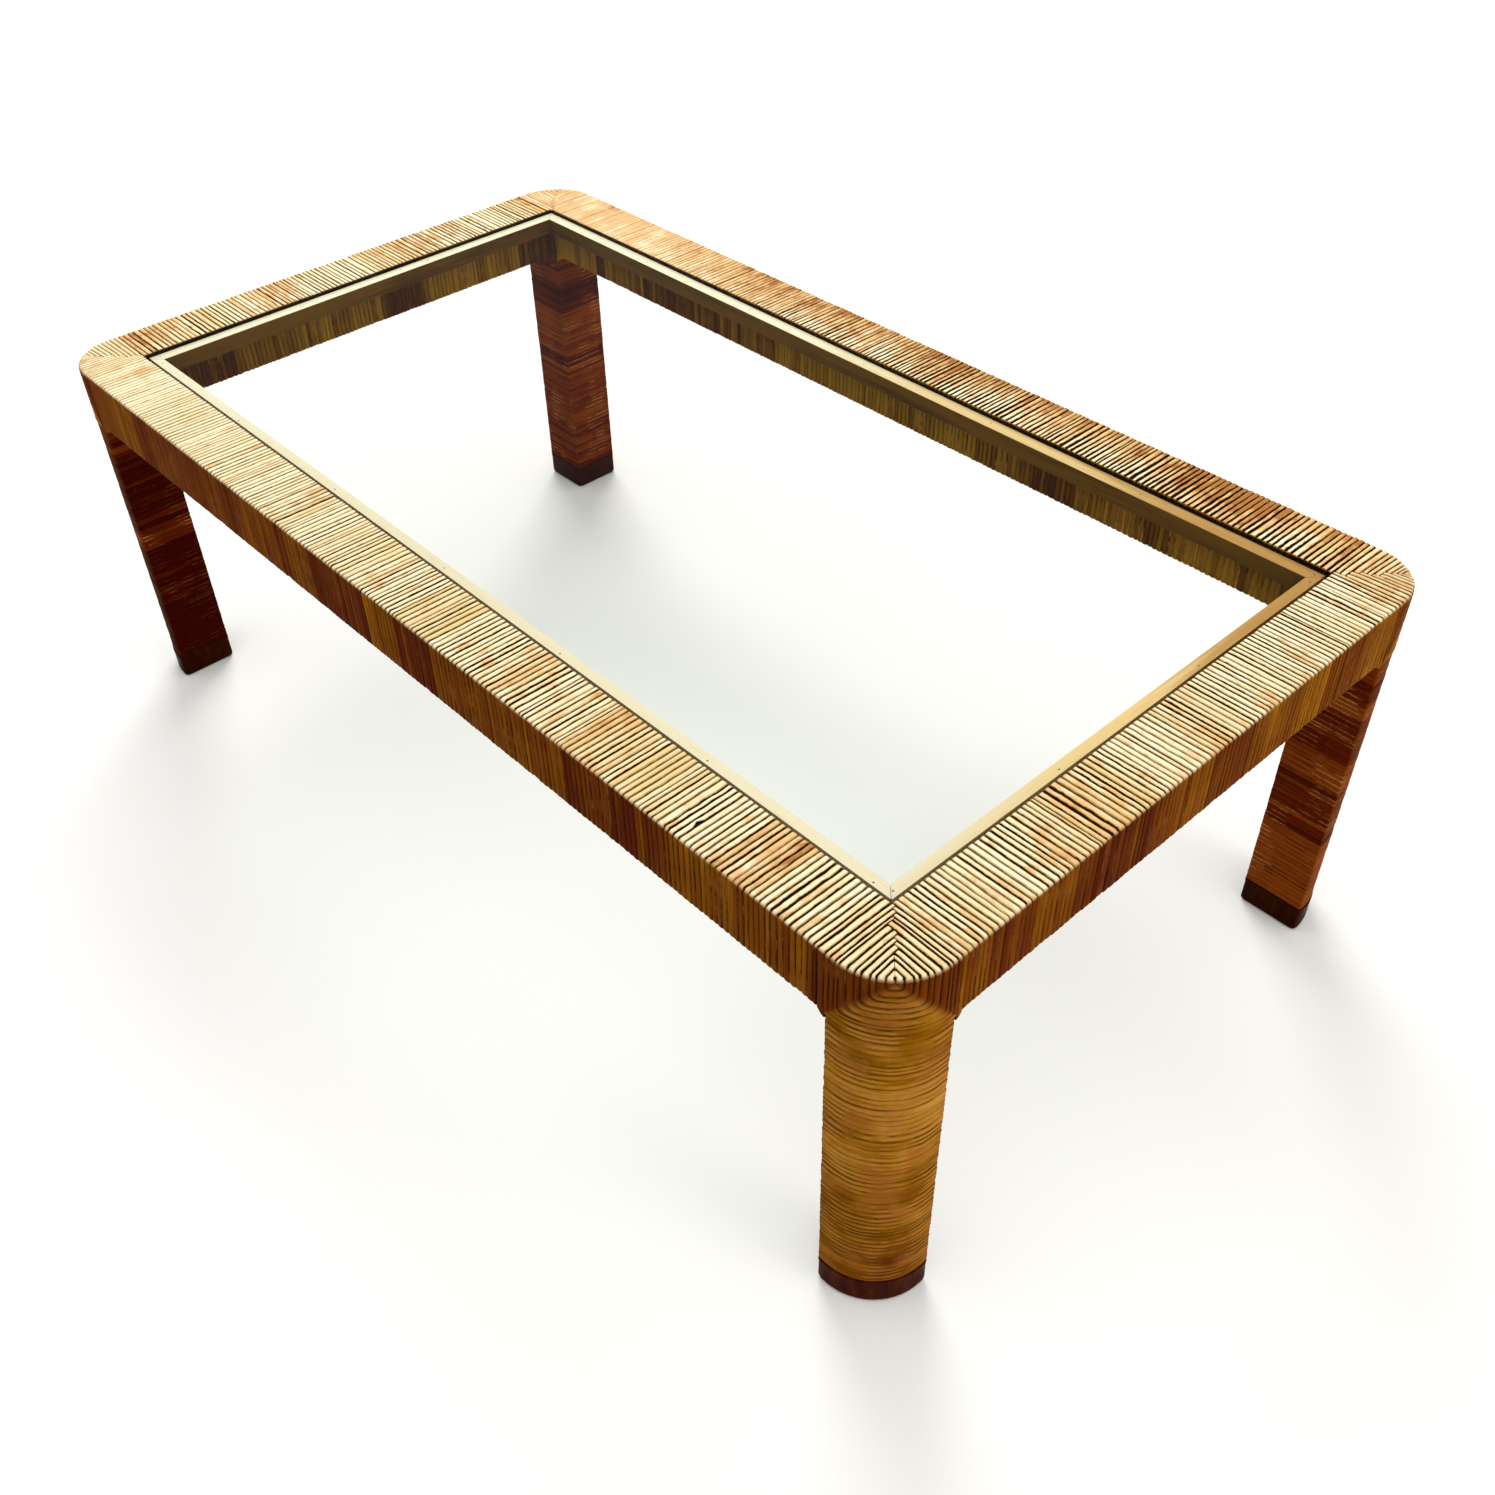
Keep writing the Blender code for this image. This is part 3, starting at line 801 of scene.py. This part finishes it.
    def groove_shade(self, rim):
        """Return how much of the groove stain shows: whole on top, broken elsewhere."""
        shade = self.times(self.span(rim, 0.60, 0.94, 0.0, 1.0), self.stain, clamp=True)
        shade = self.times(shade, self.span(self.fade, 0.0, 1.0, 0.75, 1.0))
        broken = self.span(self.mask, 0.40, 0.62, 0.10, 1.0)
        whole = self.math("MAXIMUM", self.fade, self.times(self.less(1.0, self.limb), 0.35))
        return self.times(shade, self.add(broken, whole, clamp=True))

    def painted_glint(self, rim):
        """Return how much painted highlight, a glint, shows at the edges of the dark strips."""
        open_side = self.times(self.less(1.0, self.limb), 0.45)
        return self.times(self.span(rim, 0.74, 0.98, 0.0, 0.85),
                          self.span(self.rose_and_glint_mask, 0.50, 0.60),
                          self.span(self.tone, 0.10, 0.50, 0.15, 1.0),
                          self.less(1.0, self.fade), self.math("MAXIMUM", self.deep, open_side))


def reed_material():
    """Return the reed's material: cream with painted top light on top, rich lacquered colour on the
    sides, painted shade under the table.
    """
    nodes = ReedNodes()
    colour = nodes.mix(nodes.limb, nodes.side_colour(), nodes.leg_colour())
    # Painted top light: the pale cream top laid over the side colours where the reed faces up.
    colour = nodes.mix(nodes.fade, colour, nodes.top_colour())
    # Painted shade: the dark colours where the reed faces under the table.
    colour = nodes.mix(nodes.deep, colour, nodes.painted_shade_colour())
    halo = nodes.times(nodes.span(nodes.rim, 0.28, 0.90, 0.0, 0.85), nodes.stain, clamp=True)
    colour = nodes.mix(nodes.times(halo, nodes.fade), colour, HALO)
    rim = nodes.ragged_rim()
    open_limb = nodes.times(nodes.limb, nodes.less(1.0, nodes.deep))
    groove = nodes.mix(open_limb, GROOVE, LEG_GROOVE)
    colour = nodes.mix(nodes.groove_shade(rim), colour, groove)
    # Painted highlight: glints along the edges of the dark strips.
    colour = nodes.mix(nodes.painted_glint(rim), colour, GLINT)
    speck = nodes.noise(380.0, 2.0, 0.7)
    colour = nodes.tinted(colour, RUST, speck, 0.68, 0.76, 0.45)
    rough = nodes.span(nodes.grain, 0.3, 0.75, 0.36, 0.58)
    nodes.bump(nodes.add(nodes.fibre, nodes.grain), 0.40, 0.0004)
    return nodes.finish(colour, rough, Specular_IOR_Level=0.004)


# The ledge top runs from LEDGE_NEAR at the front to a brighter colour at the back: painted light
# that offsets the pane's slant tint.
LEDGE_NEAR = (0.78, 0.665, 0.475)
LEDGE_FAR_BRIGHTENED = (1.00, 0.90, 0.68)
LEDGE_TAN = (0.80, 0.55, 0.25)
LEDGE_BROWN = (0.50, 0.26, 0.08)
# Dark brown of the ledge's faces other than its top, and of a band along the top's outer edge.
LEDGE_DARK_BROWN = (0.120, 0.056, 0.006)
LEDGE_DARKEST = (0.050, 0.020, 0.002)
CORE_PALE = (0.050, 0.020, 0.007)
CORE_DARK = (0.020, 0.008, 0.003)
CAP_PAINTED_SHADE = (0.006, 0.0010, 0.0004)
CAP_DARK = (0.024, 0.0030, 0.0007)
CAP_BROWN = (0.050, 0.0075, 0.0014)
CAP_RED = (0.105, 0.022, 0.004)
CAP_WORN = (0.150, 0.060, 0.026)
STEEL_DARK = (0.030, 0.018, 0.012)
STEEL_RUST = (0.120, 0.075, 0.045)
GLASS_TINT = (0.965, 0.985, 0.965)
GLASS_SHADE = (0.93, 0.955, 0.94)
# The pane's edges are tinted almost black: painted shade for the dark line round the glass.
GLASS_EDGE_PAINTED_DARK = (0.022, 0.015, 0.009)
GLASS_EDGE_SHADE = (0.5, 0.5, 0.45)
GLASS_SLANT_SHARE = 0.82
GLASS_IOR = 1.09
GLASS_EDGE_IOR = 1.06


def wood_grain(nodes, axis):
    """Return the growth rings and the fine fibres of wood along one axis of the table's frame."""
    scale = [55.0, 55.0, 55.0]
    scale[axis] = 2.2
    where = nodes.stretched(scale)
    return nodes.noise(1.6, 5.0, 0.65, where), nodes.noise(9.0, where=where)


def wood_material(name, pale, dark, axis, roughness):
    """Return plain wood in two tones."""
    nodes = Nodes(name)
    rings, fibre = wood_grain(nodes, axis)
    knots = nodes.noise(6.0, 2.0)
    colour = nodes.ramp(rings, [(0.30, dark), (0.52, pale), (0.75, pale)])
    colour = nodes.tinted(colour, dark, fibre, 0.55, 0.8, 0.35)
    colour = nodes.tinted(colour, dark, knots, 0.55, 0.8, 0.35)
    nodes.bump(fibre, 0.25, 0.0004)
    rough = nodes.span(rings, 0.3, 0.8, roughness - 0.08, roughness + 0.12)
    return nodes.finish(colour, rough, Specular_IOR_Level=0.01)


def ledge_material(name, axis):
    """Return the ledge's pale wood, browner towards the back right corner of the table, painted
    brighter towards the back to offset the pane's slant tint.
    """
    nodes = Nodes(name)
    rings, fibre = wood_grain(nodes, axis)
    x, y, _ = nodes.axes()
    brown = nodes.span(nodes.add(nodes.times(x, 0.8), y), 0.05, 0.75)
    brown = nodes.add(brown, nodes.times(nodes.less(rings, 0.5), 0.8), clamp=True)
    # Painted light: brighter towards the back, against the pane's slant tint.
    across = nodes.less(y, nodes.times(x, 0.5))
    pale = nodes.tinted(LEDGE_NEAR, LEDGE_FAR_BRIGHTENED, across, -0.35, 0.25)
    colour = nodes.tinted(pale, LEDGE_TAN, brown, 0.0, 0.75)
    colour = nodes.tinted(colour, LEDGE_BROWN, brown, 0.75, 1.0)
    colour = nodes.tinted(colour, LEDGE_BROWN, fibre, 0.58, 0.80, 0.40)
    nodes.bump(fibre, 0.25, 0.0004)
    rough = nodes.span(rings, 0.3, 0.8, 0.36, 0.56)
    return nodes.finish(colour, rough, Specular_IOR_Level=0.1)


def cap_material():
    """Return the foot caps' dark stained wood, scuffed here and there, with painted shade over the
    caps of the far legs.
    """
    nodes = Nodes("cap_brown")
    grain = nodes.noise(4.0, 4.0, 0.6, nodes.stretched((30.0, 30.0, 6.0)))
    scuff = nodes.noise(90.0, 3.0, 0.7)
    colour = nodes.ramp(grain, [(0.25, CAP_DARK), (0.55, CAP_BROWN), (0.80, CAP_RED)])
    colour = nodes.tinted(colour, CAP_WORN, scuff, 0.64, 0.78, 0.4)
    x, y, _ = nodes.axes()
    # Painted shade: the caps darken away from the front right corner.
    colour = nodes.mix(nodes.span(nodes.less(x, y), 0.30, 1.00, 0.55, 0.0), colour, CAP_PAINTED_SHADE)
    nodes.bump(nodes.add(grain, scuff), 0.2, 0.0003)
    rough = nodes.span(scuff, 0.3, 0.7, 0.30, 0.50)
    return nodes.finish(colour, rough, Specular_IOR_Level=0.008)


def steel_material():
    """Return the dull dark heads of the ledge's brads."""
    nodes = Nodes("brad_steel")
    stain = nodes.noise(900.0, 2.0)
    colour = nodes.ramp(stain, [(0.3, STEEL_DARK), (0.7, STEEL_RUST)])
    rough = nodes.span(stain, 0.3, 0.7, 0.35, 0.65)
    return nodes.finish(colour, rough, Metallic=0.6)


def glass_material(name, tint, shade, index):
    """Return clear glass, deeper in tint at a slant, with a faint film of dust.

    Shadow and diffuse rays pass straight through it, dimmed to shade.
    """
    nodes = Nodes(name)
    film = nodes.noise(7.0, 4.0, 0.6)
    slant = nodes.new("ShaderNodeLayerWeight", {"Blend": 0.5})
    steep = tuple(part * GLASS_SLANT_SHARE for part in tint)
    colour = nodes.tinted(tint, steep, slant.outputs["Facing"], 0.20, 0.75)
    nodes.finish(colour, nodes.span(film, 0.45, 0.80, 0.0, 0.02), Transmission_Weight=1.0, IOR=index)
    clear = nodes.new("ShaderNodeBsdfTransparent", {"Color": (*shade, 1.0)})
    path = nodes.new("ShaderNodeLightPath").outputs
    lamps = nodes.math("MAXIMUM", path["Is Shadow Ray"], path["Is Diffuse Ray"])
    mix = nodes.new("ShaderNodeMixShader", {0: lamps, 1: nodes.shader.outputs[0],
                                            2: clear.outputs[0]})
    nodes.put(mix.outputs[0], nodes.tree.nodes["Material Output"].inputs["Surface"])
    return nodes.material


# ---- the other pieces

def add_body(name, body, materials, smooth_angle):
    """Turn a bmesh into a piece of the scene."""
    bmesh.ops.recalc_face_normals(body, faces=body.faces[:])
    mesh = bpy.data.meshes.new(name)
    body.to_mesh(mesh)
    body.free()
    return add_piece(name, mesh, materials, smooth_angle)


def placed(place, ring):
    """Return a ring of local points as vectors in the table's frame."""
    return [Vector(point) for point in place(np.array(ring))]


def at_height(section, z):
    """Return the points of a section or an arc at height z."""
    return [(row[0], row[1], z) for row in section]


def loft(body, rings):
    """Join stacked rings of points into a closed solid."""
    layers = [[body.verts.new(point) for point in ring] for ring in rings]
    body.faces.new(list(reversed(layers[0])))
    body.faces.new(layers[-1])
    count = len(layers[0])
    for lower, upper in zip(layers, layers[1:]):
        for index in range(count):
            after = (index + 1) % count
            body.faces.new((lower[index], lower[after], upper[after], upper[index]))


def make_cap(corner, place, material):
    """Add one foot cap: a cup with rounded foot edges and a small bead round its rim."""
    top = CAP_TOP / MM
    socket_inset = 3.8
    # Inset and height of each ring in mm: up the outside, over the rim and down the socket.
    levels = [(5.0, 0.0), (3.0, 0.35), (1.6, 1.2), (0.7, 2.7), (0.3, 5.0), (0.35, 10.0),
              (0.45, top - 4.6), (0.35, top - 4.0), (0.02, top - 3.2), (0.0, top - 1.8),
              (0.15, top - 0.6), (0.7, top), (socket_inset - 0.6, top),
              (socket_inset, top - 0.6), (socket_inset, 5.0)]
    rings = []
    for inset, z in levels:
        section = leg_section(inset * MM, CAP_ROUND)
        rings.append(placed(place, at_height(section, z * MM)))
    body = bmesh.new()
    loft(body, rings)
    return add_body("cap_" + corner, body, [material], 35)


def make_ledge(side, half, place, materials):
    """Add one mitred ledge strip with eased edges: pale on top, dark brown on its other faces and in
    a band along the top's outer edge.
    """
    inner_face = half - RAIL_WIDTH - 2 * LEDGE_GAP
    near = RAIL_WIDTH + LEDGE_GAP
    rings = []
    for end, share in zip((-1, 1), DARK_BAND_SHARE[side]):
        profile = [(0.0, -LEDGE_THICKNESS), (0.0, 0.0), (LEDGE_DARK_BAND_WIDTH * share, 0.0),
                   (LEDGE_WIDTH - 1.2 * MM, 0.0), (LEDGE_WIDTH - 0.4 * MM, -0.3 * MM),
                   (LEDGE_WIDTH, -1.2 * MM), (LEDGE_WIDTH, -LEDGE_THICKNESS + 0.8 * MM),
                   (LEDGE_WIDTH - 0.8 * MM, -LEDGE_THICKNESS)]
        rings.append(placed(place, [(end * (inner_face - y), near + y, LEDGE_DROP + z)
                                    for y, z in profile]))
    body = bmesh.new()
    loft(body, rings)
    piece = add_body("ledge_strip_" + side, body, materials, 50)
    dark_band_edge = placed(place, [(0.0, near + LEDGE_DARK_BAND_WIDTH, 0.0)])[0]
    axis = 1 if side in ("front", "back") else 0
    for polygon in piece.data.polygons:
        pale = polygon.normal.z > 0.5 and abs(polygon.center[axis]) < abs(dark_band_edge[axis])
        polygon.material_index = 0 if pale else 1
    return piece


def make_brads(side, half, place, material, rng):
    """Add the small sunk heads of the brads that hold a ledge strip."""
    reach = half - RAIL_WIDTH - BRAD_END
    middle = RAIL_WIDTH + LEDGE_WIDTH * 0.55
    count = max(3, round(2 * reach / BRAD_SPACING))
    body = bmesh.new()
    for x in np.linspace(-reach, reach, count):
        x += rng.uniform(-8, 8) * MM
        y = middle + rng.uniform(-1.5, 1.5) * MM
        rings = []
        for radius, z in ((0.9, -1.5), (0.9, 0.05), (0.6, 0.22)):
            circle = arc((x, y), radius * MM, 0, 360, 8)[:-1]
            rings.append(placed(place, at_height(circle, LEDGE_DROP + z * MM)))
        loft(body, rings)
    return add_body("ledge_brads_" + side, body, [material], 40)


def make_glass(face_material, edge_material):
    """Add the glass pane with eased corners and polished, slightly rounded edges."""
    corners = ((GLASS_LOW.x, GLASS_LOW.y, 180), (GLASS_HIGH.x, GLASS_LOW.y, 270),
               (GLASS_HIGH.x, GLASS_HIGH.y, 0), (GLASS_LOW.x, GLASS_HIGH.y, 90))
    thickness = (GLASS_HIGH.z - GLASS_LOW.z) / MM
    rings = []
    for inset, z in ((0.5, 0.0), (0.15, 0.15), (0.0, 0.5), (0.0, thickness - 0.5),
                     (0.15, thickness - 0.15), (0.5, thickness)):
        back = GLASS_CORNER_EASE + inset * MM
        ring = []
        for x, y, start in corners:
            centre = (x - math.copysign(back, x), y - math.copysign(back, y))
            ring += arc(centre, GLASS_CORNER_EASE, start, start + 90, 2)
        rings.append(at_height(ring, GLASS_LOW.z + z * MM))
    body = bmesh.new()
    loft(body, rings)
    piece = add_body("glass_pane", body, [face_material, edge_material], 15)
    for polygon in piece.data.polygons:
        polygon.material_index = 0 if abs(polygon.normal.z) > 0.99 else 1
    return piece


# ---- assembly

def build_reed():
    """Build the reed of every rail, leg and corner."""
    material = reed_material()
    rng = np.random.default_rng(SEED)
    for side, half, origin, quarter in SIDES:
        store = StripStore()
        straight_strips(store, side, half, placer(quarter, origin, HEIGHT), rng)
        piece = store.piece("reed_rail_" + side, material)
        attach(piece, "frame")
        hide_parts("rail_wrap_" + side)
    for corner, x, y, quarter in CORNERS:
        store = StripStore()
        shaft_strips(store, corner, placer(quarter, (x, y), 0.0), rng)
        piece = store.piece("reed_leg_" + corner, material)
        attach(piece, "frame")
        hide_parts("leg_wrap_" + corner)
        store = StripStore()
        corner_strips(store, corner, placer(quarter, (x, y), HEIGHT), rng)
        piece = store.piece("reed_corner_" + corner, material)
        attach(piece, "frame")


def build_wood():
    """Build ledge, brads and caps, and finish the wood cores that show between the strips."""
    rng = np.random.default_rng(SEED + 1)
    ledges = [(ledge_material("ledge_top_" + name, axis),
               wood_material("ledge_face_" + name, LEDGE_DARK_BROWN, LEDGE_DARKEST, axis, 0.5))
              for name, axis in (("x", 0), ("y", 1))]
    cores = [wood_material("core_wood_" + name, CORE_PALE, CORE_DARK, axis, 0.7)
             for name, axis in (("x", 0), ("y", 1), ("z", 2))]
    steel = steel_material()
    cap = cap_material()
    for side, half, origin, quarter in SIDES:
        place = placer(quarter, origin, HEIGHT)
        strip = make_ledge(side, half, place, ledges[quarter % 2])
        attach(strip, "frame")
        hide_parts("ledge_" + side)
        brads = make_brads(side, half, place, steel, rng)
        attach(brads, "frame")
        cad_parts["rail_core_" + side].material_slots[0].material = cores[quarter % 2]
    for corner, x, y, quarter in CORNERS:
        piece = make_cap(corner, placer(quarter, (x, y), 0.0), cap)
        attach(piece, "frame")
        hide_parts("foot_cap_" + corner)
        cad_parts["leg_core_" + corner].material_slots[0].material = cores[2]


def build_glass():
    """Build the pane."""
    face = glass_material("glass_clear", GLASS_TINT, GLASS_SHADE, GLASS_IOR)
    # The edge glass carries painted shade: the dark line round the pane.
    edge = glass_material("glass_edge", GLASS_EDGE_PAINTED_DARK, GLASS_EDGE_SHADE, GLASS_EDGE_IOR)
    pane = make_glass(face, edge)
    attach(pane, "glass")
    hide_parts("glass_panel")


# ---- stage, light and camera

FLOOR_REACH = 12.0
FLOOR_DARK = (0.86, 0.86, 0.85)
FLOOR_PALE = (0.90, 0.90, 0.89)
STUDIO_COLOUR = (1.0, 0.99, 0.97, 1.0)
STUDIO_STRENGTH = 0.32
# Each lamp's name, place, target, size, power and colour.
LAMPS = (("window", (-3.6, 2.6, 3.6), (0.0, 0.0, 0.3), 3.0, 230.0, (1.0, 0.98, 0.95)),
         ("ceiling", (0.4, -0.4, 4.5), (0.4, -0.4, 0.0), 7.0, 235.0, (1.0, 0.99, 0.97)),
         ("fill", (4.2, 0.8, 1.5), (0.5, 0.0, 0.2), 1.8, 52.0, (1.0, 0.95, 0.88)))
CAMERA_PLACE = Vector((1.122, -0.909, 1.313))
CAMERA_AIM = Vector((0.3616, -0.2237, 0.400))
CAMERA_ROLL = math.radians(-1.29)
CAMERA_LENS = 36.74


def build_stage():
    """Add the plain floor and the studio light."""
    nodes = Nodes("floor_plain")
    cloud = nodes.noise(0.8, 2.0)
    floor_colour = nodes.ramp(cloud, [(0.3, FLOOR_DARK), (0.7, FLOOR_PALE)])
    floor_material = nodes.finish(floor_colour, 0.75)
    mesh = bpy.data.meshes.new("floor")
    points = [(x * FLOOR_REACH, y * FLOOR_REACH, 0) for x, y in ((-1, -1), (1, -1), (1, 1), (-1, 1))]
    mesh.from_pydata(points, [], [(0, 1, 2, 3)])
    mesh.materials.append(floor_material)
    floor = add_object("floor", mesh)

    world = bpy.data.worlds.new("studio")
    world.use_nodes = True
    background = world.node_tree.nodes["Background"]
    background.inputs["Color"].default_value = STUDIO_COLOUR
    background.inputs["Strength"].default_value = STUDIO_STRENGTH
    bpy.context.scene.world = world
    for lamp in LAMPS:
        add_lamp(*lamp)


def add_lamp(name, place, target, size, power, colour):
    """Add one soft square lamp aimed at a point."""
    data = bpy.data.lights.new(name, "AREA")
    data.size = size
    data.energy = power
    data.color = colour
    lamp = add_object(name, data)
    lamp.location = place
    lamp.rotation_euler = (Vector(target) - Vector(place)).to_track_quat("-Z", "Y").to_euler()
    lamp.visible_glossy = False
    lamp.visible_transmission = False


def add_camera():
    """Add the camera: above the front right corner, looking across the table."""
    data = bpy.data.cameras.new("camera")
    data.lens = CAMERA_LENS
    camera = add_object("camera", data)
    camera.location = CAMERA_PLACE
    level = (CAMERA_AIM - CAMERA_PLACE).to_track_quat("-Z", "Y").to_matrix().to_4x4()
    camera.rotation_euler = (level @ Matrix.Rotation(CAMERA_ROLL, 4, "Z")).to_euler()
    bpy.context.scene.camera = camera


build_reed()
build_wood()
build_glass()
build_stage()
add_camera()
bpy.context.scene.view_settings.view_transform = "Standard"
